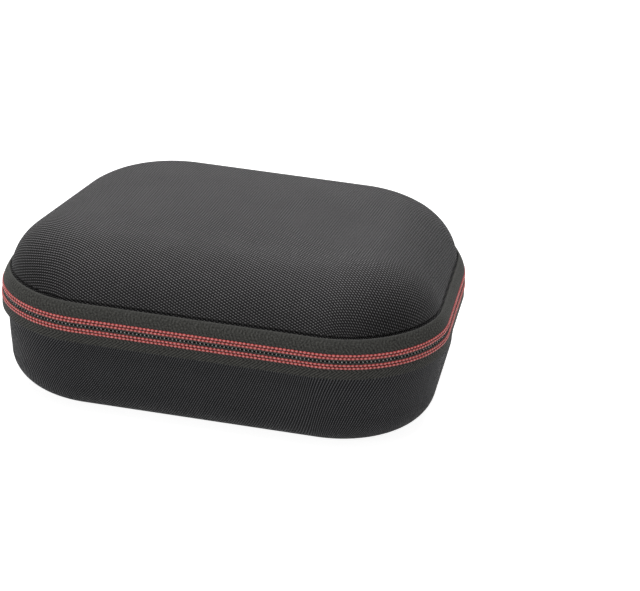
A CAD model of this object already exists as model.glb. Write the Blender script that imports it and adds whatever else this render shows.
"""Looks of the moulded zip-round carrying case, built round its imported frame.

Woven covers, herringbone zipper tape, nylon coils, red stitching, lining, net pocket and cast
sliders. Metres, +Z up, the front faces -Y and the case stands on z = 0.
"""

from math import acos, atan2, ceil, cos, hypot, pi, radians, sin

import bmesh
import bpy
import numpy as np
from mathutils import Matrix, Vector


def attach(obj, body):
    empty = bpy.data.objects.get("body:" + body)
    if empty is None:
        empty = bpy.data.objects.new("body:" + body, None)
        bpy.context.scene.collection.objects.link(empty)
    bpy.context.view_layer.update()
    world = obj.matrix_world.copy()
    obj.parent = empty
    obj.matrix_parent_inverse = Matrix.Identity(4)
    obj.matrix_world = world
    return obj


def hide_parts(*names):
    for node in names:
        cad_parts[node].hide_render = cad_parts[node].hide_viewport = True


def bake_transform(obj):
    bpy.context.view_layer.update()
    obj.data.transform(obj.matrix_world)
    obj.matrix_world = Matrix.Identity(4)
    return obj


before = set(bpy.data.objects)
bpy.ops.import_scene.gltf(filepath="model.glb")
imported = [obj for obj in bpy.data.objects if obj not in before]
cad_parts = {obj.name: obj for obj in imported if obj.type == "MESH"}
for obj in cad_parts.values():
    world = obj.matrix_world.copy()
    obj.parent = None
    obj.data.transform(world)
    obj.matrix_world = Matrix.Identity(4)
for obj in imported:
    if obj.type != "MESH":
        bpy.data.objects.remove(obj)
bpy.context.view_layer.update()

# Outline of the shell wall beside the zipper band, seen from above
CASE_WIDTH = 0.185
CASE_DEPTH = 0.139
BACK_CORNER = 0.048
FRONT_CORNER = 0.0422
BACK_TAPER = 0.0066

# Heights over the ground
SEAM_HEIGHT = 0.0423
CASE_HEIGHT = 0.0758

# Shells: how far the wall leans in, and the rounding at the top and the bottom
WALL = 0.0035
LID_DRAFT = 0.0009
LID_STRAIGHT = 0.0009
LID_ROUND_IN = 0.0293
LID_CROWN = 0.0029
BASE_DRAFT = 0.0016
BASE_ROUND_IN = 0.0182
BASE_ROUND_HEIGHT = 0.0158
RIM_SETBACK = 0.0055
GROOVE_HEIGHT = 0.0018
LID_GROOVE = 0.001
GROOVE_DEPTH = 0.0008
LID_SPRING = SEAM_HEIGHT + RIM_SETBACK + LID_STRAIGHT
LID_ROUND_HEIGHT = CASE_HEIGHT - LID_CROWN - LID_SPRING

# Zipper band: heights are taken from the seam, and the proud sizes from the shell wall
TAPE_UPPER = 0.0086
TAPE_LOWER = 0.008
BAND_PROUD = 0.00275
UPPER_EDGE_PROUD = 0.0
LOWER_EDGE_PROUD = 0.00265
SEAM_DIP = 0.0002
SEAM_DIP_WIDTH = 0.002
TAPE_THICKNESS = 0.0009
TAPE_EDGE_ROUND = 0.0002
SLIT_HALF = 0.0003
CHAIN_SINK = 0.0003
SLIT_PARTED = 0.0005
PARTING_LENGTH = 0.012
GAP = 0.0003

# Zipper coil and the thread that holds it
COIL_PITCH = 0.0017
COIL_BACK = 0.003
COIL_SEAT = -0.0005
COIL_DEPTH = 0.0014
FILAMENT = 0.0006
TOOTH_REACH = 0.0003
OPEN_TOOTH = 0.0009
HEAD_GLEAM = 1.0
INNER_ROW = 0.0015
OUTER_ROW = 0.0027
STITCH_LENGTH = 0.00195
STITCH_WIDTH = 0.00108
STITCH_RISE = 0.0008
ROW_DIP = 0.00012
ROW_DIP_WIDTH = 0.0004

# Slight waves along the upper tape's free edge: their height, and how many go round
EDGE_WAVE = 0.00012
EDGE_WAVES = (9, 23, 41)

# Hinge strip, rim bindings and net pocket
HINGE_OVERRUN = 0.0016
BINDING_THICKNESS = 0.0009
BINDING_LEG = 0.003
BINDING_STITCH_PITCH = 0.003
BINDING_STITCH_LENGTH = 0.0026
BINDING_STITCH_WIDTH = 0.0006
BINDING_STITCH_RISE = 0.0005
EDGING_DROP = 0.003
POCKET_HEIGHT = 0.012
POCKET_MOUTH = 0.026
NET_CELL = 0.0028
NET_STRAND = 0.0009
NET_THICKNESS = 0.0004
NET_SAG = 0.0025
ELASTIC_WIDTH = 0.006
ELASTIC_THICKNESS = 0.0016
PUCKER_RISE = 0.00012
PUCKER_RADIANS = 60

# Sliders
SLIDER_REST_TURN = radians(30)
SLIDER_HALF_LENGTH = 0.0055
METAL_EDGE = 0.00012
METAL_EDGE_ANGLE = radians(35)
METAL_SMOOTH_ANGLE = radians(50)
TURN_LENGTH = 0.02

# Zipper tape's weave: the chevrons turn at two heights, and both edges of a half are plain
TAPE_RIB = 0.0016
TAPE_YARN = 0.00042
UPPER_CHEVRON = 0.0064
LOWER_CHEVRON = -0.0046
PLAIN_EDGE = 0.00105
FREE_EDGE = 0.0011
FREE_EDGE_FULL = 0.0003

# Covers: how far down they are drawn until the weave is fully open, and how it spreads at corners
DRAWN_REACH = 0.034
CORNER_DRAW = 2.0
SETTLING = 0.03
LEAN_HEIGHT = 0.03
CORNER_STRETCH = 0.2

# Fineness of the swept meshes
STEP = 0.002
ROUND_STEPS = 22
CROWN_RINGS = 14
SMOOTH_ANGLE = radians(40)

# Camera and stage
VIEW_AZIMUTH = radians(15.58)
VIEW_ELEVATION = radians(22.80)
VIEW_ROLL = radians(1.94)
VIEW_DISTANCE = 1.955
VIEW_HEIGHT = 0.035
VIEW_ASIDE = 0.03205
VIEW_RAISE = 0.00044
VIEW_LENS = 261.16
SENSOR = 36.0
FLOOR_SIZE = 8.0
FLOOR_GLOW = 0.92
ROOM_LIGHT = 0.2
TOP_LIGHT = (-0.15, 0.1, 1.5)
FRONT_LIGHT = (-0.55, -1.0, 0.46)


class Wire:
    """One socket of a node tree; arithmetic on it adds Math nodes."""

    def __init__(self, tree, socket=None):
        self.tree = tree
        self.socket = socket

    def add(self, kind, sockets=None, output=0, **settings):
        """Output of a new node: its settings first, then the values or links of its sockets."""
        node = self.tree.nodes.new(kind)
        for name, value in settings.items():
            setattr(node, name, value)
        for name, value in (sockets or {}).items():
            if isinstance(value, Wire):
                self.tree.links.new(value.socket, node.inputs[name])
            else:
                node.inputs[name].default_value = value
        return Wire(self.tree, node.outputs[output])

    def beside(self, output):
        """Another output of the same node."""
        return Wire(self.tree, self.socket.node.outputs[output])

    def place(self):
        """The piece's own coordinates."""
        return self.add("ShaderNodeTexCoord", output=3)

    def marked(self, name, value):
        """The same mesh with a value at each point under a name."""
        sockets = {"Geometry": self, "Name": name, "Value": value}
        kind = "GeometryNodeStoreNamedAttribute"
        return self.add(kind, sockets, data_type="FLOAT", domain="POINT")

    def attribute(self, name):
        """Value that the mesh carries under a name."""
        return self.add("ShaderNodeAttribute", attribute_name=name, output=2)

    def math(self, operation, *values):
        """Math node on numbers and wires."""
        return self.add("ShaderNodeMath", dict(enumerate(values)), operation=operation)

    def __add__(self, other):
        return self.math("ADD", self, other)

    def __sub__(self, other):
        return self.math("SUBTRACT", self, other)

    def __rsub__(self, other):
        return self.math("SUBTRACT", other, self)

    def __mul__(self, other):
        return self.math("MULTIPLY", self, other)

    def __truediv__(self, other):
        return self.math("DIVIDE", self, other)

    def __pow__(self, other):
        return self.math("POWER", self, other)

    __radd__ = __add__
    __rmul__ = __mul__

    def between(self, one, other):
        """Value that goes from one to the other as this mask goes from 0 to 1."""
        return one + self * (other - one)

    def tint(self, one, other):
        """Colour that goes from one to the other as this mask goes from 0 to 1."""
        sockets = {0: self, 6: colour(one), 7: colour(other)}
        return self.add("ShaderNodeMix", sockets, output=2, data_type="RGBA")

    def noise(self, place, scale, detail=2.0):
        """Soft noise from 0 to 1 at a place, so many waves to the metre."""
        return self.add("ShaderNodeTexNoise", {"Vector": place, "Scale": scale, "Detail": detail})


def colour(value):
    """RGBA of a colour, or the wire as it is."""
    return value if isinstance(value, Wire) else (*value, 1.0)


def new_finish(name, **constants):
    """Material whose constant values sit on its shader, and a wire to start from."""
    material = bpy.data.materials.new(name)
    material.use_nodes = True
    shader = material.node_tree.nodes["Principled BSDF"]
    for socket, value in constants.items():
        shader.inputs[socket.replace("_", " ")].default_value = value
    return material, Wire(material.node_tree)


def feed(material, socket, wire):
    """Link a wire to a socket of the material's shader."""
    tree = material.node_tree
    tree.links.new(wire.socket, tree.nodes["Principled BSDF"].inputs[socket])


def coat(material, base_colour, roughness):
    """Feed the colour and the roughness of a finish."""
    feed(material, "Base Color", base_colour)
    feed(material, "Roughness", roughness)


def raise_surface(material, height, distance, strength=1.0):
    """Bump of a height from 0 to 1, that many metres tall."""
    sockets = {"Strength": strength, "Distance": distance, "Height": height}
    feed(material, "Normal", height.add("ShaderNodeBump", sockets))


def unrolled(start):
    """The piece's own UV in metres: u and v as values, and the vector."""
    flat = start.add("ShaderNodeUVMap", uv_map="unrolled")
    u = start.add("ShaderNodeSeparateXYZ", {0: flat})
    return u, u.beside(1), flat


def woven_cover(name, across, down, slant, ribbing, closed, opened, dark, light):
    """Coarse plain weave, ribbed along one diagonal, that opens where the cover is drawn down."""
    material, start = new_finish(
        name, Specular_IOR_Level=0.12, Sheen_Weight=0.06, Sheen_Roughness=0.4
    )
    u, v, flat = unrolled(start)
    x, y = u / across, v / down
    column, row = x.math("FLOOR", x), y.math("FLOOR", y)
    weft_up = x.math("FLOORED_MODULO", column + row, 2.0)
    left = (x - column) * 2.0 - 1.0
    low = (y - row) * 2.0 - 1.0
    float_rise = (1.0 - low * low) * (1.0 - left * left * 0.9)
    under_rise = (1.0 - left * left) * (1.0 - low * low * 0.8)
    plain = weft_up.between(under_rise * 0.3, float_rise)
    diagonal = x.math("COSINE", (x + y * slant) * pi) * (slant * 0.5) + 0.5
    ribs = diagonal * plain.between(0.8, 1.15)
    shade = plain * (1 - ribbing) + ribs * ribbing
    streaks = start.add("ShaderNodeVectorMath", {0: flat, 1: (900, 5200, 1)}, operation="MULTIPLY")
    filaments = start.noise(streaks, 1.0, 1.0)
    cloudy = start.noise(flat, 55.0)
    drawn = start.attribute("drawn")
    paler = drawn.between(1.0, 1.0 - (opened - closed) / 4)
    open_weave = shade ** drawn.between(closed, opened) * paler
    worn = open_weave * filaments.between(0.8, 1.2) * cloudy.between(0.86, 1.14)
    coat(material, worn.tint(dark, light), shade.between(0.85, 0.62))
    woven = weft_up.between(under_rise * 0.6, float_rise)
    height = woven * (1 - ribbing) + diagonal * ribbing + filaments * 0.06
    raise_surface(material, height, 0.0003)
    return material


def herringbone_tape():
    """Woven zipper tape: ribs in chevrons along it, a plain edge at the slit, paler free edges."""
    material, start = new_finish(
        "herringbone tape", Specular_IOR_Level=0.12, Sheen_Weight=0.06, Sheen_Roughness=0.4
    )
    u, v, flat = unrolled(start)
    upper = v.math("GREATER_THAN", v, 0.0)
    from_turn = v.math("ABSOLUTE", v - upper.between(LOWER_CHEVRON, UPPER_CHEVRON))
    slant = upper.between(1.25, -0.58)
    ribs = u.math("COSINE", (from_turn * slant - u) * (2 * pi / TAPE_RIB)) * 0.5 + 0.5
    yarn = v.math("COSINE", v * (2 * pi / TAPE_YARN) + u * 900.0) * 0.5 + 0.5
    reach = v.math("ABSOLUTE", v)
    plain = v.math("LESS_THAN", reach, PLAIN_EDGE)
    free_edge = start.add(
        "ShaderNodeMapRange",
        {"Value": v, "From Min": TAPE_UPPER - FREE_EDGE, "From Max": TAPE_UPPER - FREE_EDGE_FULL},
    )
    cloudy = start.noise(flat, 240.0)
    grain = start.noise(flat, 1500.0, 1.0)
    relief = plain.between(ribs * upper.between(0.8, 0.24) + yarn * 0.2, yarn * 0.2 + 0.4)
    shade = (relief * cloudy.between(0.8, 1.2) + upper.between(0.1, 0.3)) * grain.between(-0.5, 2.5)
    cloth = shade.tint((0.012, 0.012, 0.011), (0.118, 0.117, 0.108))
    fuzzy = free_edge * cloudy.between(0.2, 0.9)
    coat(material, fuzzy.tint(cloth, (0.095, 0.095, 0.09)), relief.between(0.9, 0.7))
    raise_surface(material, relief, 0.00016)
    return material


def red_thread():
    """Sewing thread that is bright on its crest and deep red where it dives into the tape."""
    material, start = new_finish(
        "red thread", Specular_IOR_Level=0.45, Sheen_Weight=0.25, Sheen_Roughness=0.4
    )
    crest = start.attribute("crest")
    place = start.place()
    twist = start.noise(place, 5200.0, 1.0)
    body = (crest * 1.9).tint((0.06, 0.003, 0.003), (0.64, 0.045, 0.04))
    shine = (crest - 0.55) * 2.3 * twist.between(0.6, 1.3)
    coat(material, shine.tint(body, (1.0, 0.42, 0.4)), twist.between(0.42, 0.62))
    raise_surface(material, twist, 0.00008, 0.6)
    return material


def plain_thread(name, tone):
    """Sewing thread of one tone."""
    material, start = new_finish(name, Specular_IOR_Level=0.35, Sheen_Weight=0.2)
    place = start.place()
    twist = start.noise(place, 4200.0, 1.0)
    lit = tuple(2.2 * part for part in tone)
    coat(material, twist.tint(tone, lit), twist.between(0.5, 0.75))
    return material


def coil_nylon():
    """Smooth dark nylon monofilament that gleams on the crest of its heads."""
    material, start = new_finish("coil nylon", Specular_IOR_Level=1.0)
    place = start.place()
    cloudy = start.noise(place, 700.0)
    crest = start.attribute("crest")
    gleam = crest * cloudy.between(0.5, 1.2)
    coat(material, gleam.tint((0.02, 0.02, 0.02), (0.97, 0.97, 0.95)), cloudy.between(0.12, 0.2))
    return material


def lining_cloth():
    """Brushed knit that lines both shells."""
    material, start = new_finish(
        "brushed lining", Specular_IOR_Level=0.15, Sheen_Weight=0.6, Sheen_Roughness=0.35
    )
    place = start.place()
    nap = start.noise(place, 2600.0, 3.0)
    brushed = start.noise(place, 60.0, 3.0)
    shade = nap * 0.6 + brushed * 0.5
    coat(material, shade.tint((0.008, 0.008, 0.009), (0.042, 0.042, 0.045)), brushed.between(0.8, 0.98))
    raise_surface(material, nap, 0.0002, 0.6)
    return material


def ribbed_weave(name, rib, dark, light):
    """Narrow woven band with ribs across it."""
    material, start = new_finish(
        name, Specular_IOR_Level=0.25, Sheen_Weight=0.25, Sheen_Roughness=0.5
    )
    u, v, flat = unrolled(start)
    ribs = u.math("COSINE", u * (2 * pi / rib)) * 0.5 + 0.5
    picks = v.math("COSINE", v * (2 * pi / (rib * 0.6))) * 0.5 + 0.5
    cloudy = start.noise(flat, 300.0)
    relief = ribs * 0.75 + picks * 0.25
    shade = relief * cloudy.between(0.7, 1.2)
    coat(material, shade.tint(dark, light), relief.between(0.9, 0.7))
    raise_surface(material, relief, 0.00018)
    return material


def knitted_net():
    """Black knitted strands of the pocket net."""
    material, start = new_finish("knitted net", Specular_IOR_Level=0.3, Sheen_Weight=0.3)
    place = start.place()
    knit = start.noise(place, 2200.0, 2.0)
    coat(material, knit.tint((0.01, 0.01, 0.011), (0.06, 0.06, 0.062)), knit.between(0.65, 0.9))
    raise_surface(material, knit, 0.0001)
    return material


def slider_metal():
    """Dark plated casting with fine handling marks."""
    material, start = new_finish("slider metal", Metallic=1.0)
    place = start.place()
    grain = start.noise(place, 900.0, 4.0)
    rubbed = start.noise(place, 160.0, 3.0)
    drawn_out = {0: place, 1: (300, 300, 4000)}
    marks = start.noise(start.add("ShaderNodeVectorMath", drawn_out, operation="MULTIPLY"), 1.0, 2.0)
    worn = rubbed.between(0.24, 0.4) + marks * 0.12
    coat(material, rubbed.tint((0.1, 0.1, 0.105), (0.21, 0.21, 0.22)), worn)
    raise_surface(material, grain * 0.6 + marks * 0.4, 0.00004, 0.5)
    return material


def corner_arcs():
    """Centre, radius, first and last normal angle of each corner, clockwise from the back."""
    back = np.array([CASE_WIDTH / 2 - BACK_TAPER - BACK_CORNER, CASE_DEPTH / 2 - BACK_CORNER])
    front = np.array([CASE_WIDTH / 2 - FRONT_CORNER, FRONT_CORNER - CASE_DEPTH / 2])
    run = back - front
    side = atan2(run[1], run[0]) - acos((FRONT_CORNER - BACK_CORNER) / hypot(*run))
    mirror = np.array([-1, 1])
    return [
        (back, BACK_CORNER, pi / 2, side),
        (front, FRONT_CORNER, side, -pi / 2),
        (front * mirror, FRONT_CORNER, -pi / 2, -pi - side),
        (back * mirror, BACK_CORNER, -pi - side, -3 * pi / 2),
    ]


def outline_pieces():
    """Straights and arcs as (start distance, length, point, normal angle, turn)."""
    pieces = []
    travelled = 0.0
    here = np.array([0.0, CASE_DEPTH / 2])
    for centre, radius, first, last in corner_arcs():
        start = centre + radius * np.array([cos(first), sin(first)])
        straight = hypot(*(start - here))
        pieces.append((travelled, straight, here, first, 0.0))
        travelled += straight
        length = radius * (first - last)
        pieces.append((travelled, length, start, first, last - first))
        travelled += length
        here = centre + radius * np.array([cos(last), sin(last)])
    pieces.append((travelled, abs(here[0]), here, -3 * pi / 2, 0.0))
    return pieces


OUTLINE = outline_pieces()
PERIMETER = OUTLINE[-1][0] + OUTLINE[-1][1]


def station(distance):
    """Wall point, outward normal and share of the corner's turn, clockwise from the back."""
    distance = distance % PERIMETER
    for begin, length, start, angle, turn in OUTLINE:
        if distance <= begin + length:
            break
    normal = np.array([cos(angle), sin(angle)])
    if turn == 0.0:
        along = np.array([sin(angle), -cos(angle)])
        return start + along * (distance - begin), normal, 0.0
    share = (distance - begin) / length
    now = angle + turn * share
    turned = np.array([cos(now), sin(now)])
    return start - length / turn * (turned - normal), turned, share


def trace(distances):
    """Points, normals and how deep in a corner each is, at distances along the outline."""
    found = [station(d) for d in distances]
    points = np.array([point for point, _, _ in found])
    normals = np.array([normal for _, normal, _ in found])
    bends = np.array([sin(pi * share) ** 2 for _, _, share in found])
    return points, normals, bends


RUN_END = OUTLINE[1][0] + OUTLINE[1][1]
LOOP = np.linspace(0, PERIMETER, ceil(PERIMETER / STEP), endpoint=False)
LOOP_POINTS, LOOP_NORMALS, LOOP_BENDS = trace(LOOP)


def linked(name, data):
    """New object of some data, in the scene."""
    thing = bpy.data.objects.new(name, data)
    bpy.context.scene.collection.objects.link(thing)
    return thing


def modelled(name, bm, material):
    """Object of a bmesh with one material."""
    mesh = bpy.data.meshes.new(name)
    bm.to_mesh(mesh)
    bm.free()
    mesh.materials.append(material)
    return linked(name, mesh)


def new_piece(name, points, faces, materials, uv, slots):
    """Mesh object from points and faces, shaded smooth, with its unrolled UV and its slots."""
    mesh = bpy.data.meshes.new(name)
    mesh.from_pydata([tuple(point) for point in points], [], faces)
    for material in materials:
        mesh.materials.append(material)
    layer = mesh.uv_layers.new(name="unrolled")
    layer.data.foreach_set("uv", np.array(uv, np.float32).ravel())
    mesh.polygons.foreach_set("material_index", slots)
    bm = bmesh.new()
    bm.from_mesh(mesh)
    bmesh.ops.recalc_face_normals(bm, faces=bm.faces)
    bm.to_mesh(mesh)
    bm.free()
    mesh.shade_smooth()
    mesh.set_sharp_from_angle(angle=SMOOTH_ANGLE)
    return linked(name, mesh)


def grid_piece(
    name, grid, flat, materials, wrap_rows=False, wrap_columns=False, tips=None, slots=None, side=None
):
    """Surface through a grid of points; flat is its UV, one row and column more where it wraps.

    side is a first row and another UV for the rows before it.
    """
    rows, columns = grid.shape[:2]
    points = list(grid.reshape(-1, 3))
    slots = slots or [0] * rows
    faces, uv, face_slots = [], [], []
    for r in range(rows if wrap_rows else rows - 1):
        chart = side[1] if side and r < side[0] else flat
        for c in range(columns if wrap_columns else columns - 1):
            corners = ((r, c), (r, c + 1), (r + 1, c + 1), (r + 1, c))
            faces.append([(i % rows) * columns + j % columns for i, j in corners])
            uv += [chart[i, j] for i, j in corners]
            face_slots.append(slots[r])
    ends = []
    if tips:
        for row, tip in ((0, tips[0]), (rows - 1, tips[1])):
            points.append(tip)
            for c in range(columns):
                faces.append([row * columns + c, row * columns + (c + 1) % columns, len(points) - 1])
                uv += [flat[row, c], flat[row, c + 1], np.array(tip[:2])]
                face_slots.append(slots[min(row, rows - 2)])
    elif wrap_rows and not wrap_columns:
        ends = [0, columns - 1]
    for column in ends:
        faces.append([r * columns + column for r in range(rows)])
        uv += [flat[r, column] for r in range(rows)]
        face_slots.append(0)
    return new_piece(name, points, faces, materials, uv, face_slots)


def tape_face(height):
    """Offset of the band's outer face at a height over (or under) the seam."""
    edge, reach = (UPPER_EDGE_PROUD, TAPE_UPPER) if height > 0 else (LOWER_EDGE_PROUD, TAPE_LOWER)
    dip = SEAM_DIP * np.exp(-((height / SEAM_DIP_WIDTH) ** 2))
    return BAND_PROUD - (BAND_PROUD - edge) * (height / reach) ** 2 - dip


def flange_face(height):
    """Offset of the shell's flange, which the band lies on."""
    return tape_face(height) - TAPE_THICKNESS - GAP


def lid_round(turn, depth=0.0):
    """Offset and height on the lid's rounding, or that deep inside it."""
    out, up = LID_ROUND_HEIGHT * cos(turn), LID_ROUND_IN * sin(turn)
    size = hypot(out, up)
    offset = -LID_DRAFT - LID_ROUND_IN * (1 - cos(turn)) - depth * out / size
    height = LID_SPRING + LID_ROUND_HEIGHT * sin(turn) - depth * up / size
    return offset, height


def base_round(turn, depth=0.0):
    """Offset and height on the base's rounding, or that deep inside it."""
    out, down = BASE_ROUND_HEIGHT * cos(turn), BASE_ROUND_IN * sin(turn)
    size = hypot(out, down)
    offset = -BASE_DRAFT - BASE_ROUND_IN * (1 - cos(turn)) - depth * out / size
    height = BASE_ROUND_HEIGHT * (1 - sin(turn)) + depth * down / size
    return offset, height


def softened(heights, passes):
    """Heights with their kinks eased."""
    eased = np.array(heights)
    for _ in range(passes):
        eased[1:-1] = (eased[:-2] + 2 * eased[1:-1] + eased[2:]) / 4
    return eased


def shell_half(rounding, crown, sign):
    """Rows (offset, height, share) from the rim side to the middle of one face of a shell."""
    flat_offset, flat_height = rounding[-1]
    rows = [(offset, height, 1.0) for offset, height in rounding]
    for share in np.linspace(1, 0.08, CROWN_RINGS)[1:]:
        rows.append((flat_offset, flat_height + crown * (1 - share**2), share))
    if crown:
        heights = softened([row[1] for row in rows], 5)
        heights[: ROUND_STEPS // 2] = [row[1] for row in rows[: ROUND_STEPS // 2]]
        rows = [(offset, height, share) for (offset, _, share), height in zip(rows, heights)]
    tip = (0.0, 0.0, float(rows[-1][1]))
    return rows[::sign], tip


def cloth_lean():
    """How far the cloth's columns lean along the outline, for each metre down the side."""
    angles = np.unwrap(np.arctan2(LOOP_NORMALS[:, 1], LOOP_NORMALS[:, 0]))
    swing = angles + 2 * pi * LOOP / PERIMETER
    spread = round(SETTLING / STEP)
    eased = swing
    for _ in range(2):
        eased = sum(np.roll(eased, k) for k in range(-spread, spread + 1)) / (2 * spread + 1)
    return np.tan(eased - swing)


def side_chart(depths):
    """UV of a cover drawn straight down the sides, from the front's middle, row by row."""
    steps = (1 - CORNER_STRETCH * LOOP_BENDS) * (PERIMETER / len(LOOP))
    runs = steps.sum() / 2 - np.append(0, np.cumsum(steps))
    lean = np.append(cloth_lean(), cloth_lean()[0])
    return [np.column_stack([runs + lean * (depth - LEAN_HEIGHT), 0 * runs + depth]) for depth in depths]


def shell_piece(name, inside, rim, outside, straight, draw_loss, materials, tips):
    """Closed shell: lining rows, rim rows and cover rows, with the cover's weave unrolled."""
    rows = inside + rim + outside
    grid = []
    for offset, height, share in rows:
        ring = (LOOP_POINTS + LOOP_NORMALS * offset) * share
        grid.append(np.column_stack([ring, np.full(len(ring), height)]))
    edge = len(rows) - CROWN_RINGS
    spans = [np.linalg.norm(grid[k + 1][0] - grid[k][0]) for k in range(edge)]
    depths = [sum(spans[k:]) for k in range(len(rows))]
    flat_loop = LOOP_POINTS + LOOP_NORMALS * outside[-1][0]
    lost = LOOP_NORMALS * (1 - draw_loss * LOOP_BENDS)[:, None]
    whole = np.append(np.arange(len(LOOP)), 0)
    flat = [(flat_loop + lost * depth)[whole] for depth in depths[: edge + 1]]
    flat += [ring[whole, :2] for ring in grid[edge + 1 :]]
    cover = side_chart(depths) if straight else flat
    slots = [0 if k < len(inside) else 1 for k in range(len(rows))]
    piece = grid_piece(
        name, np.array(grid), np.array(flat), materials,
        wrap_columns=True, tips=tips, slots=slots, side=(edge, np.array(cover)),
    )
    reached = [min(1.0, depth / DRAWN_REACH) for depth in depths]
    draws = [share * (1 + CORNER_DRAW * share * LOOP_BENDS) for share in reached]
    stretch = piece.data.attributes.new("drawn", "FLOAT", "POINT")
    stretch.data.foreach_set("value", np.append(np.ravel(draws), (0, 0)).astype(np.float32))
    return piece


def lid_body(materials):
    """Domed lid with its cover, flange under the tape, and lining."""
    turns = np.linspace(0, pi / 2, ROUND_STEPS)
    first = np.arcsin((SEAM_HEIGHT + TAPE_UPPER + LID_GROOVE - LID_SPRING) / LID_ROUND_HEIGHT)
    inside, inner_tip = shell_half([lid_round(t, WALL) for t in turns], LID_CROWN, -1)
    outer_turns = np.linspace(first, pi / 2, ROUND_STEPS)
    outside, outer_tip = shell_half([lid_round(t) for t in outer_turns], LID_CROWN, 1)
    rim = SEAM_HEIGHT + RIM_SETBACK
    edge = [(inside[-1][0], rim, 1.0)]
    for up in np.linspace(RIM_SETBACK, TAPE_UPPER - GAP, 5):
        edge.append((flange_face(up), SEAM_HEIGHT + up, 1.0))
    for share in (0.2, 0.5):
        edge.append((outside[0][0] - GROOVE_DEPTH, SEAM_HEIGHT + TAPE_UPPER + LID_GROOVE * share, 1.0))
    return shell_piece("lid_body", inside, edge, outside, False, 0.15, materials, (inner_tip, outer_tip))


def base_body(materials):
    """Deep base tray with its cover, flange under the tape, and lining."""
    turns = np.linspace(0, pi / 2, ROUND_STEPS)
    inside, inner_tip = shell_half([base_round(t, WALL) for t in turns], 0.0, -1)
    outside, outer_tip = shell_half([base_round(t) for t in turns], 0.0, 1)
    rim = SEAM_HEIGHT - RIM_SETBACK
    edge = [(-WALL, rim - BINDING_LEG - WALL, 1.0), (-WALL, rim, 1.0)]
    for down in np.linspace(RIM_SETBACK, TAPE_LOWER - GROOVE_HEIGHT / 2, 4):
        edge.append((flange_face(-down), SEAM_HEIGHT - down, 1.0))
    ledge = SEAM_HEIGHT - TAPE_LOWER - GROOVE_HEIGHT / 2
    for share in np.linspace(0, 1, 7)[:-1]:
        lean = BASE_DRAFT * share**1.5
        edge.append((-lean, ledge + (BASE_ROUND_HEIGHT - ledge) * share, 1.0))
    return shell_piece("base_body", inside, edge, outside, True, 0.1, materials, (inner_tip, outer_tip))


def strip_section(outer, faces, near_round, side=1):
    """Closed section of a woven strip: outer face, far edge, inner face and near edge."""
    half = TAPE_THICKNESS / 2
    arc = np.linspace(0, pi, 7)[1:-1]
    far, near = faces[-1], faces[0]
    section = list(outer)
    section += [(far[0] - half + half * cos(a), side * (far[1] + half * sin(a))) for a in arc]
    section += [(offset - TAPE_THICKNESS, side * h) for offset, h in faces[::-1]]
    section += [(near[0] - half - half * cos(a), side * (near[1] - near_round * sin(a))) for a in arc]
    return section


def tape_section(side, rows=18):
    """Closed section of one half of the tape, with rounded edges: (offset, height) from the seam."""
    reach = TAPE_UPPER if side > 0 else TAPE_LOWER
    half = TAPE_THICKNESS / 2
    sink = side * CHAIN_SINK
    heights = np.linspace(SLIT_HALF - sink + TAPE_EDGE_ROUND, reach - half, rows)
    faces = [(tape_face(side * h), h) for h in heights]
    outer = []
    for offset, h in faces:
        dip = sum(np.exp(-(((h + sink - row) / ROW_DIP_WIDTH) ** 2)) for row in (INNER_ROW, OUTER_ROW))
        outer.append((offset - ROW_DIP * dip, side * h))
    return strip_section(outer, faces, TAPE_EDGE_ROUND, side)


def ripple(distances):
    """Slight unevenness along a sewn edge, from -1 to 1."""
    turns = distances * 2 * pi / PERIMETER
    return sum(np.sin(turns * wave + 1.7 * wave) for wave in EDGE_WAVES) / len(EDGE_WAVES)


def slit_parting(distances):
    """How far the slit's upper edge is raised: wide for the wedges where the sliders run."""
    along = distances % PERIMETER
    from_back = np.minimum(along, PERIMETER - along)
    share = np.clip(1 - (from_back - RUN_END) / PARTING_LENGTH, 0, 1)
    return SLIT_PARTED * share * share * (3 - 2 * share)


def swept(name, section, first, last, materials, upper_tape=False):
    """Section swept along the outline between two distances, with u along it and v up it.

    The upper tape's free edge waves, and its edge at the slit rises where the sliders run.
    """
    around = last - first >= PERIMETER - GAP
    count = ceil((last - first) / STEP)
    distances = np.linspace(first, last, count + 1)
    if around:
        distances = distances[:-1]
    points, normals, _ = trace(distances)
    wave = ripple(distances) * (EDGE_WAVE * upper_tape)
    parting = slit_parting(distances) * upper_tape
    runs = np.append(distances, last) if around else distances
    grid, flat = [], []
    for offset, height in section:
        share = max(0.0, height / TAPE_UPPER) ** 2
        spots = points + normals * (offset + wave * share)[:, None]
        now = height + parting * (1 - height / TAPE_UPPER)
        grid.append(np.column_stack([spots, SEAM_HEIGHT + now + wave * share]))
        flat.append(np.column_stack([runs, np.full(len(runs), height)]))
    flat.append(flat[0])
    return grid_piece(name, np.array(grid), np.array(flat), materials, wrap_rows=True, wrap_columns=around)


def hinge_end():
    """Distance from the back's middle to an end of the hinge strip."""
    return corner_arcs()[0][0][0] + HINGE_OVERRUN


def hinge_section():
    """Closed section of the hinge strip, from the lower tape edge to the upper one."""
    half = TAPE_THICKNESS / 2
    heights = np.linspace(half - TAPE_LOWER, TAPE_UPPER - half, 32)
    faces = [(tape_face(h), h) for h in heights]
    return strip_section(faces, faces, half)


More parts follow.
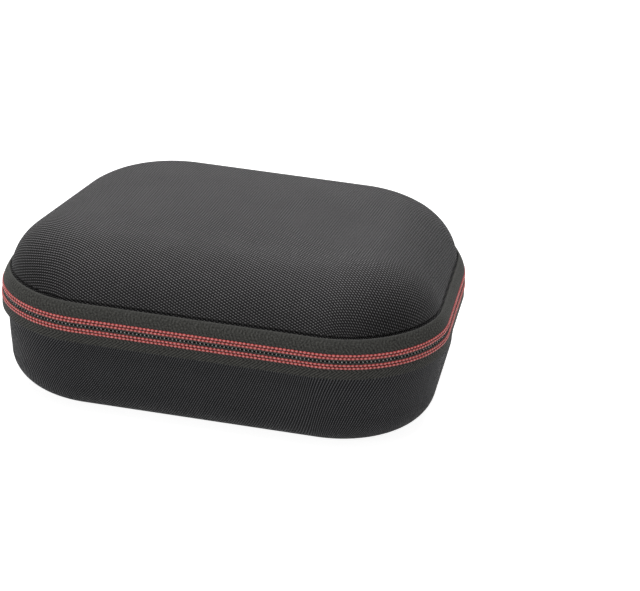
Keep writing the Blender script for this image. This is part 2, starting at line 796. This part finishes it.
def rounded(corners, radius, steps=3):
    """Closed section with each corner cut round."""
    section = []
    count = len(corners)
    for k, corner in enumerate(corners):
        here = np.array(corner)
        before = np.array(corners[k - 1]) - here
        after = np.array(corners[(k + 1) % count]) - here
        cut = min(radius, np.linalg.norm(before) * 0.45, np.linalg.norm(after) * 0.45)
        a = here + before / np.linalg.norm(before) * cut
        b = here + after / np.linalg.norm(after) * cut
        for t in np.linspace(0, 1, steps):
            section.append(tuple((1 - t) ** 2 * a + 2 * t * (1 - t) * here + t**2 * b))
    return section


def binding_section(side, inner_offset):
    """Closed section of the folded binding over a shell's rim, heights from the seam."""
    rim = side * RIM_SETBACK
    near = inner_offset - GAP
    far = near - BINDING_THICKNESS
    over = rim - side * GAP
    top = over - side * BINDING_THICKNESS
    foot = rim + side * BINDING_LEG
    reach = flange_face(side * RIM_SETBACK)
    corners = [(far, foot), (near, foot), (near, over), (reach, over), (reach, top), (far, top)]
    return rounded(corners, BINDING_THICKNESS / 2)


def row_path(name, first, last, offset, height):
    """Path along the outline as a line of points that know which way is outward."""
    distances = np.linspace(first, last, ceil((last - first) / (STEP / 2)) + 1)
    points, normals, _ = trace(distances)
    spots = points + normals * offset
    mesh = bpy.data.meshes.new(name)
    edges = [(k, k + 1) for k in range(len(spots) - 1)]
    mesh.from_pydata([(x, y, SEAM_HEIGHT + height) for x, y in spots], edges, [])
    outward = mesh.attributes.new("outward", "FLOAT_VECTOR", "POINT")
    outward.data.foreach_set("vector", np.column_stack([normals, np.zeros(len(spots))]).ravel())
    return linked(name, mesh)


def new_tree(name, sizes, finish_name):
    """Geometry tree with a path, named sizes, a seed and a finish going in."""
    tree = bpy.data.node_groups.new(name, "GeometryNodeTree")
    tree.interface.new_socket("Path", in_out="INPUT", socket_type="NodeSocketGeometry")
    for size in sizes:
        tree.interface.new_socket(size, in_out="INPUT", socket_type="NodeSocketFloat")
    tree.interface.new_socket("Seed", in_out="INPUT", socket_type="NodeSocketInt")
    tree.interface.new_socket(finish_name, in_out="INPUT", socket_type="NodeSocketMaterial")
    tree.interface.new_socket("Made", in_out="OUTPUT", socket_type="NodeSocketGeometry")
    entry = tree.nodes.new("NodeGroupInput")
    return tree, {s.name: Wire(tree, s) for s in entry.outputs if s.name}


def end_tree(tree, instances, material):
    """Make the instances real, give them their finish and send them out."""
    real = instances.add("GeometryNodeRealizeInstances", {"Geometry": instances})
    done = real.add("GeometryNodeSetMaterial", {"Geometry": real, "Material": material})
    leave = tree.nodes.new("NodeGroupOutput")
    tree.links.new(done.socket, leave.inputs[0])
    return tree


def along_path(start, inlet, thing, outward_axis, along_axis):
    """One instance of a thing every pitch along the path, facing outward."""
    line = start.add("GeometryNodeMeshToCurve", {"Mesh": inlet["Path"]})
    spots = start.add(
        "GeometryNodeResampleCurve", {"Curve": line, "Length": inlet["Pitch"]}, mode="LENGTH"
    )
    outward = start.add("GeometryNodeInputNamedAttribute", {"Name": "outward"}, data_type="FLOAT_VECTOR")
    tangent = start.add("GeometryNodeInputTangent")
    aligned = start.add("FunctionNodeAlignRotationToVector", {"Vector": tangent}, axis=along_axis)
    faced = start.add(
        "FunctionNodeAlignRotationToVector",
        {"Rotation": aligned, "Vector": outward},
        axis=outward_axis,
        pivot_axis=along_axis,
    )
    wobble = start.add(
        "FunctionNodeRandomValue", {2: 0.94, 3: 1.06, "Seed": inlet["Seed"]}, output=1, data_type="FLOAT"
    )
    sockets = {"Points": spots, "Instance": thing, "Rotation": faced, "Scale": wobble}
    return start.add("GeometryNodeInstanceOnPoints", sockets)


def stitch_tree():
    """Row of lockstitches: slim beads that dive into the cloth at both ends."""
    tree, inlet = new_tree("stitch row", ("Pitch", "Length", "Width", "Rise"), "Thread")
    start = Wire(tree)
    ball = start.add("GeometryNodeMeshUVSphere", {"Segments": 8, "Rings": 6, "Radius": 0.5})
    lying = start.add("GeometryNodeTransform", {"Geometry": ball, "Rotation": (0, pi / 2, 0)})
    x = start.add("ShaderNodeSeparateXYZ", {0: start.add("GeometryNodeInputPosition")})
    z = x.beside(2)
    crest = x.math("MAXIMUM", (z * 1.4 + 0.35) * (1.0 - x * x * 3.6), 0.0)
    size = start.add(
        "ShaderNodeCombineXYZ", {"X": inlet["Length"], "Y": inlet["Width"], "Z": inlet["Rise"]}
    )
    marked = lying.marked("crest", crest)
    bead = start.add("GeometryNodeTransform", {"Geometry": marked, "Scale": size})
    return end_tree(tree, along_path(start, inlet, bead, "Z", "X"), inlet["Thread"])


def coil_tree():
    """Spiral coil as one leaning turn of filament for every pitch."""
    sizes = ("Pitch", "Across", "Depth", "Filament", "Lean", "Gleam")
    tree, inlet = new_tree("zipper coil", sizes, "Nylon")
    start = Wire(tree)
    frame_curve = start.add(
        "GeometryNodeCurvePrimitiveQuadrilateral", {"Width": inlet["Across"], "Height": inlet["Depth"]}
    )
    bent = start.add(
        "GeometryNodeFilletCurve", {"Curve": frame_curve, "Radius": inlet["Depth"] * 0.48, "Count": 3},
        mode="POLY",
    )
    round_wire = start.add(
        "GeometryNodeCurvePrimitiveCircle", {"Resolution": 6, "Radius": inlet["Filament"] * 0.5}
    )
    loop = start.add("GeometryNodeCurveToMesh", {"Curve": bent, "Profile Curve": round_wire})
    x = start.add("ShaderNodeSeparateXYZ", {0: start.add("GeometryNodeInputPosition")})
    y = x.beside(1)
    head = x.math("GREATER_THAN", inlet["Depth"] * 0.55 - inlet["Across"] * 0.5, x)
    crest = head * x.math("GREATER_THAN", y, inlet["Depth"] * 0.3) * inlet["Gleam"]
    lean = start.add("ShaderNodeCombineXYZ", {"Y": inlet["Lean"]})
    sockets = {"Geometry": loop.marked("crest", crest), "Rotation": lean}
    leaning = start.add("GeometryNodeTransform", sockets)
    smooth = start.add("GeometryNodeSetShadeSmooth", {"Geometry": leaning})
    return end_tree(tree, along_path(start, inlet, smooth, "Y", "Z"), inlet["Nylon"])


def grown(path, tree, values):
    """Run a tree on a path and keep the result as a plain mesh piece of the path's name."""
    modifier = path.modifiers.new("grow", "NODES")
    modifier.node_group = tree
    for item in tree.interface.items_tree:
        if item.in_out == "INPUT" and item.name in values:
            modifier[item.identifier] = values[item.name]
    depsgraph = bpy.context.evaluated_depsgraph_get()
    mesh = bpy.data.meshes.new_from_object(
        path.evaluated_get(depsgraph), preserve_all_data_layers=True, depsgraph=depsgraph
    )
    name = path.name
    bpy.data.objects.remove(path)
    mesh.name = name
    mesh.shade_smooth()
    return linked(name, mesh)


def stitches(name, first, last, height, tree, thread, seed):
    """Row of stitches on the tape at a height from the seam."""
    height -= CHAIN_SINK
    path = row_path(name, first, last, tape_face(height) - ROW_DIP, height)
    sizes = {"Pitch": COIL_PITCH, "Length": STITCH_LENGTH, "Width": STITCH_WIDTH, "Rise": STITCH_RISE}
    return grown(path, tree, {**sizes, "Seed": seed, "Thread": thread})


def coil(name, side, first, last, near, tree, nylon):
    """Coil on the inside of the tape, from its heads near the seam to its back."""
    outer = tape_face(side * COIL_BACK) - TAPE_THICKNESS - COIL_SEAT
    middle = side * (near + COIL_BACK) / 2 - CHAIN_SINK
    shift = 0.0 if side > 0 else COIL_PITCH / 2
    start = ceil((first - shift) / COIL_PITCH) * COIL_PITCH + shift
    path = row_path(name, start, last, outer - COIL_DEPTH / 2, middle)
    across = COIL_BACK - near - FILAMENT
    sizes = {
        "Pitch": COIL_PITCH,
        "Across": across,
        "Depth": COIL_DEPTH - FILAMENT,
        "Filament": FILAMENT,
        "Lean": atan2(COIL_PITCH / 2, across),
        "Gleam": HEAD_GLEAM if side < 0 else 0.0,
    }
    return grown(path, tree, {**sizes, "Nylon": nylon})


def lid_inside(height):
    """Offset of the lid's inner wall at a height."""
    turns = np.linspace(0, pi / 2, 90)
    offsets, heights = zip(*(lid_round(float(turn), WALL) for turn in turns))
    return float(np.interp(height, heights, offsets))


def half_width(offset, y):
    """Half the width of the outline at an offset, along a line across the case."""
    ring = LOOP_POINTS + LOOP_NORMALS * offset
    right = ring[ring[:, 0] > 0]
    order = np.argsort(right[:, 1])
    return float(np.interp(y, right[order, 1], right[order, 0]))


def pocket_net(material):
    """Net of six-sided meshes over the back of the lid, slightly slack in the middle."""
    low = SEAM_HEIGHT + POCKET_HEIGHT
    offset = lid_inside(low) - GAP
    front = POCKET_MOUTH - CASE_DEPTH / 2 + ELASTIC_WIDTH * 0.6
    back = CASE_DEPTH / 2 + offset
    tall = NET_CELL * 0.866
    bm = bmesh.new()
    corners = {}
    row = 0
    y = front
    while y < back:
        wide = half_width(offset, min(y, back - GAP)) - NET_CELL / 3
        first = int(-wide / NET_CELL)
        for k in range(first, -first + 1):
            x = (k + (row % 2) / 2) * NET_CELL
            if abs(x) > wide:
                continue
            cell = []
            for turn in range(6):
                angle = pi / 6 + turn * pi / 3
                reach = NET_CELL / 3**0.5
                spot = (x + reach * cos(angle), y + reach * sin(angle))
                key = (round(spot[0] / NET_CELL * 20), round(spot[1] / NET_CELL * 20))
                if key not in corners:
                    corners[key] = bm.verts.new((*spot, low))
                cell.append(corners[key])
            bm.faces.new(cell)
        y += tall
        row += 1
    bm.normal_update()
    bmesh.ops.inset_individual(bm, faces=bm.faces[:], thickness=NET_STRAND / 2)
    bmesh.ops.delete(bm, geom=[f for f in bm.faces if len(f.verts) == 6], context="FACES_ONLY")
    cut_area = sum(face.calc_area() for face in bm.faces)
    for vert in bm.verts:
        x, y = vert.co.x, vert.co.y
        slack = (1 - (2 * x / CASE_WIDTH) ** 2) * sin(pi * min(1, max(0, (y - front) / (back - front))))
        vert.co.z -= NET_SAG * max(0.0, slack)
    piece = modelled("pocket_net_mesh", bm, material)
    thicken = piece.modifiers.new("strand", "SOLIDIFY")
    thicken.thickness = NET_THICKNESS
    thicken.offset = 0
    return piece, (2 * half_width(offset, 0.0), back - front), cut_area


def pocket_elastic(material):
    """Ribbed elastic across the pocket's mouth, with round edges."""
    low = SEAM_HEIGHT + POCKET_HEIGHT
    offset = lid_inside(low) - GAP
    front = POCKET_MOUTH - CASE_DEPTH / 2
    middle = low + NET_THICKNESS / 2
    half = ELASTIC_THICKNESS / 2
    corners = [(0, -half), (ELASTIC_WIDTH, -half), (ELASTIC_WIDTH, half), (0, half)]
    section = rounded(corners, half * 0.9, 4)
    shares = np.linspace(-1, 1, 90)
    grid, flat = [], []
    for y, z in section:
        wide = half_width(offset, front + y)
        puckers = np.sin(shares * PUCKER_RADIANS) * PUCKER_RISE
        column = [(wide * t, front + y, middle + z + p) for t, p in zip(shares, puckers)]
        grid.append(column)
        flat.append([(wide * t, y) for t in shares])
    flat.append(flat[0])
    return grid_piece(
        "pocket_elastic_band", np.array(grid), np.array(flat), [material], wrap_rows=True
    )


def pocket_edging(material):
    """Narrow tape that sews the net's edge to the lining."""
    low = POCKET_HEIGHT
    near = lid_inside(SEAM_HEIGHT + low) - GAP
    foot, top = low - EDGING_DROP / 2, low + EDGING_DROP
    wall = [lid_inside(SEAM_HEIGHT + height) - GAP for height in (foot, top)]
    thick = BINDING_THICKNESS
    corners = [(wall[0], foot), (wall[1], top), (wall[1] - thick, top), (near - thick, low)]
    corners.append((wall[0] - thick, foot))
    mouth = POCKET_MOUTH - CASE_DEPTH / 2 + ELASTIC_WIDTH / 2
    reach = max(d for d in LOOP if d < PERIMETER / 2 and station(d)[0][1] > mouth)
    return swept("pocket_edging", rounded(corners, thick / 3), -reach, reach, [material])


def metal_copy(node, name, material):
    """Casting with softened edges, from the frame's own piece."""
    bm = bmesh.new()
    bm.from_mesh(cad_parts[node].data)
    bmesh.ops.remove_doubles(bm, verts=bm.verts, dist=1e-6)
    bmesh.ops.dissolve_limit(bm, angle_limit=radians(1), verts=bm.verts, edges=bm.edges)
    piece = modelled(name, bm, material)
    bevel = piece.modifiers.new("edge", "BEVEL")
    bevel.width = METAL_EDGE
    bevel.segments = 2
    bevel.limit_method = "ANGLE"
    bevel.angle_limit = METAL_EDGE_ANGLE
    piece.data.shade_smooth()
    piece.data.set_sharp_from_angle(angle=METAL_SMOOTH_ANGLE)
    return piece


def tail_blend(piece):
    """The lid's edge follows the lid and the slit's edge stays with the base."""
    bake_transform(piece)


def turn_blend(piece, distance, side):
    """As the tail at the slider's nose, then all with the lid a little further on."""
    point, normal, _ = station(distance)
    ahead = Vector((side * normal[1], -side * normal[0], 0))
    start = Vector((*(point + normal * BAND_PROUD), SEAM_HEIGHT + SLIT_PARTED))
    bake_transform(piece)


def coil_stretches(first):
    """A coil's stretches from a distance on: closed in front, open where the sliders run."""
    end = PERIMETER
    return {
        "front": (RUN_END, end - RUN_END, -TOOTH_REACH),
        "right": (first, RUN_END - COIL_PITCH, OPEN_TOOTH),
        "left": (end - RUN_END + COIL_PITCH, end - first, OPEN_TOOTH),
    }


def zipper(finishes):
    """Both halves of the zipper with their stretches, coils and stitches."""
    tape_cloth, nylon, thread = finishes["tape"], finishes["nylon"], finishes["thread"]
    sewn, spiral = stitch_tree(), coil_tree()
    centre, radius = corner_arcs()[0][:2]
    tail = hinge_end() + GAP
    rest = centre[0] + radius * SLIDER_REST_TURN
    held = rest + SLIDER_HALF_LENGTH + 4 * GAP
    turned = held + TURN_LENGTH
    end = PERIMETER

    base_tape = swept("base_tape", tape_section(-1), tail, end - tail, [tape_cloth])
    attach(base_tape, "base")
    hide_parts("base_zipper_tape")
    for word, (begin, stop, near) in coil_stretches(tail).items():
        piece = coil(f"base_coil_{word}", -1, begin, stop, near, spiral, nylon)
        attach(piece, "base")
        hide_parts("base_zipper_coil")
    for row_name, row, shift, seed in (("inner", INNER_ROW, 0.0, 1), ("outer", OUTER_ROW, 0.5, 2)):
        begin = tail + COIL_PITCH * (0.6 + shift)
        piece = stitches(f"base_thread_{row_name}", begin, end - tail, -row, sewn, thread, seed)
        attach(piece, "base")
        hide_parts(f"base_stitches_{row_name}")

    lid_parts = {
        "main": (turned, end - turned),
        "turn_right": (held, turned),
        "turn_left": (end - turned, end - held),
        "end_right": (tail, held),
        "end_left": (end - held, end - tail),
    }
    sides = {"right": (held, 1), "left": (end - held, -1)}
    for word, (begin, stop) in lid_parts.items():
        kind, _, hand = word.partition("_")
        tape = swept(f"lid_tape_{word}", tape_section(1), begin, stop, [tape_cloth], True)
        made = [(tape, "tape")]
        for row_name, row, shift, seed in (("inner", INNER_ROW, 0.3, 3), ("outer", OUTER_ROW, 0.8, 4)):
            begin_row = ceil(begin / COIL_PITCH - shift) * COIL_PITCH + shift * COIL_PITCH
            name = f"lid_thread_{row_name}_{word}"
            made.append((stitches(name, begin_row, stop, row, sewn, thread, seed), "thread"))
        if kind == "main":
            for part, (low, high, near) in coil_stretches(turned).items():
                made.append((coil(f"lid_coil_{part}", 1, low, high, near, spiral, nylon), "nylon"))
        else:
            made.append((coil(f"lid_coil_{word}", 1, begin, stop, OPEN_TOOTH, spiral, nylon), "nylon"))
        stands_for = {
            "main": {"tape": "lid_zipper_tape", "nylon": "lid_zipper_coil"},
            "turn": {"tape": "lid_zipper_tape", "nylon": "lid_zipper_coil"},
            "end": {"tape": f"lid_tape_end_{hand}", "nylon": f"lid_coil_end_{hand}"},
        }[kind]
        for piece, what in made:
            if kind == "main":
                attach(piece, "lid")
            elif kind == "turn":
                turn_blend(piece, *sides[hand])
            else:
                tail_blend(piece)
            if what in stands_for:
                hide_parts(stands_for[what])
            elif kind == "main":
                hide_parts("lid_stitches_inner", "lid_stitches_outer")


def hinge(material):
    """Woven strip at the back that bends as the lid opens."""
    strip = swept("hinge_band", hinge_section(), -hinge_end(), hinge_end(), [material])
    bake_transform(strip)
    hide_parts("hinge_strip")
    flat = (2 * hinge_end(), TAPE_LOWER + TAPE_UPPER)


def bindings(material, thread, tree):
    """Folded bindings over both rims, each with its row of black stitches."""
    lid_inner = lid_inside(SEAM_HEIGHT + RIM_SETBACK + BINDING_LEG)
    for word, side, inner in (("base", -1, -WALL), ("lid", 1, lid_inner)):
        piece = swept(f"{word}_binding", binding_section(side, inner), 0, PERIMETER, [material])
        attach(piece, word)
        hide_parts(f"{word}_rim_binding")
        height = side * (RIM_SETBACK + BINDING_LEG / 2)
        seat = inner - GAP - BINDING_THICKNESS
        last = PERIMETER - BINDING_STITCH_PITCH
        path = row_path(f"{word}_binding_thread", 0, last, seat, height)
        for item in path.data.attributes["outward"].data:
            item.vector = -Vector(item.vector)
        sizes = {
            "Pitch": BINDING_STITCH_PITCH,
            "Length": BINDING_STITCH_LENGTH,
            "Width": BINDING_STITCH_WIDTH,
            "Rise": BINDING_STITCH_RISE,
        }
        sewn = grown(path, tree, {**sizes, "Seed": 7, "Thread": thread})
        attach(sewn, word)


def pocket(net, elastic, edging):
    """Net pocket, its elastic mouth and its edging, all on the lid."""
    mesh_piece, flat, cut_area = pocket_net(net)
    band = pocket_elastic(elastic)
    strip = pocket_edging(edging)
    for piece, slot in ((mesh_piece, "pocket_net"), (band, "pocket_elastic"), (strip, "edge_binding")):
        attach(piece, "lid")
    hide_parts("pocket_net")
    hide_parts("pocket_elastic")


def shells(finishes):
    """Lid and base with their covers and linings."""
    lid = lid_body([finishes["lining"], finishes["lid cover"]])
    base = base_body([finishes["lining"], finishes["base cover"]])
    for piece, body in ((lid, "lid"), (base, "base")):
        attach(piece, body)
        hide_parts(f"{body}_shell")


def castings(metal):
    """Sliders and pulls."""
    for word in ("left", "right"):
        for what in ("slider", "pull"):
            node = f"{what}_{word}"
            piece = metal_copy(node, f"{node}_casting", metal)
            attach(piece, node)
            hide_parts(node)


def camera():
    """Camera at the photograph's angle."""
    level = cos(VIEW_ELEVATION)
    back = Vector((sin(VIEW_AZIMUTH) * level, -cos(VIEW_AZIMUTH) * level, sin(VIEW_ELEVATION)))
    right = Vector((cos(VIEW_AZIMUTH), sin(VIEW_AZIMUTH), 0))
    up = back.cross(right)
    place = Vector((0, 0, VIEW_HEIGHT)) + right * VIEW_ASIDE + up * VIEW_RAISE + back * VIEW_DISTANCE
    rolled_right = right * cos(VIEW_ROLL) + up * sin(VIEW_ROLL)
    rolled_up = up * cos(VIEW_ROLL) - right * sin(VIEW_ROLL)
    lens = bpy.data.cameras.new("camera")
    lens.lens = VIEW_LENS
    lens.sensor_width = SENSOR
    lens.clip_end = 30
    turned = Matrix((rolled_right, rolled_up, back)).transposed().to_4x4()
    seat = linked("camera", lens)
    seat.matrix_world = Matrix.Translation(place) @ turned
    bpy.context.scene.camera = seat


def lamp(name, place, aim, size, power):
    """Square soft light that looks at a point."""
    light = bpy.data.lights.new(name, "AREA")
    light.size = size
    light.energy = power
    holder = linked(name, light)
    holder.location = place
    holder.rotation_euler = (Vector(aim) - Vector(place)).to_track_quat("-Z", "Y").to_euler()


def seen_rays(start):
    """1 for rays that show the background: from the camera, off gloss and through glass."""
    path = start.add("ShaderNodeLightPath").socket.node.outputs
    camera_ray, gloss, through = (
        Wire(start.tree, path[f"Is {kind} Ray"]) for kind in ("Camera", "Glossy", "Transmission")
    )
    return start.math("MINIMUM", camera_ray + gloss + through, 1.0)


def studio():
    """Pale floor, white surroundings and soft lights."""
    mesh = bpy.data.meshes.new("floor")
    half = FLOOR_SIZE / 2
    corners = [(-half, -half, 0), (half, -half, 0), (half, half, 0), (-half, half, 0)]
    mesh.from_pydata(corners, [], [(0, 1, 2, 3)])
    floor = linked("floor", mesh)
    material, start = new_finish("pale floor", Base_Color=(0.6, 0.6, 0.6, 1), Roughness=0.9)
    shader = material.node_tree.nodes["Principled BSDF"]
    shader.inputs["Emission Color"].default_value = (1, 1, 1, 1)
    feed(material, "Emission Strength", seen_rays(start) * FLOOR_GLOW)
    mesh.materials.append(material)

    world = bpy.data.worlds.new("studio")
    world.use_nodes = True
    bpy.context.scene.world = world
    start = Wire(world.node_tree)
    background = world.node_tree.nodes["Background"]
    strength = seen_rays(start).between(ROOM_LIGHT, 1.0)
    background.inputs["Color"].default_value = (1, 1, 1, 1)
    world.node_tree.links.new(strength.socket, background.inputs["Strength"])
    middle = (0, 0, VIEW_HEIGHT)
    lamp("top light", TOP_LIGHT, middle, size=1.3, power=20.0)
    lamp("front light", FRONT_LIGHT, middle, size=0.2, power=1.1)
    bpy.context.scene.view_settings.view_transform = "Standard"


def dress():
    """Finish every piece of the case."""
    finishes = {
        "lid cover": woven_cover(
            "lid cover weave", across=0.00109, down=0.0006, slant=1.0, ribbing=0.35,
            closed=1.2, opened=1.7, dark=(0.002, 0.002, 0.002), light=(0.272, 0.265, 0.272),
        ),
        "base cover": woven_cover(
            "base cover weave", across=0.00052, down=0.00101, slant=-1.0, ribbing=0.85,
            closed=1.8, opened=1.8, dark=(0.004, 0.004, 0.0044), light=(0.16, 0.16, 0.168),
        ),
        "lining": lining_cloth(),
        "tape": herringbone_tape(),
        "nylon": coil_nylon(),
        "thread": red_thread(),
    }
    black_thread = plain_thread("black thread", (0.012, 0.012, 0.013))
    edging = ribbed_weave("edge binding", 0.0007, (0.008, 0.008, 0.009), (0.045, 0.045, 0.048))
    elastic = ribbed_weave("pocket elastic", 0.0011, (0.008, 0.008, 0.008), (0.05, 0.05, 0.05))
    shells(finishes)
    zipper(finishes)
    hinge(finishes["tape"])
    bindings(edging, black_thread, stitch_tree())
    pocket(knitted_net(), elastic, edging)
    castings(slider_metal())


camera()
studio()
dress()
bpy.context.view_layer.update()
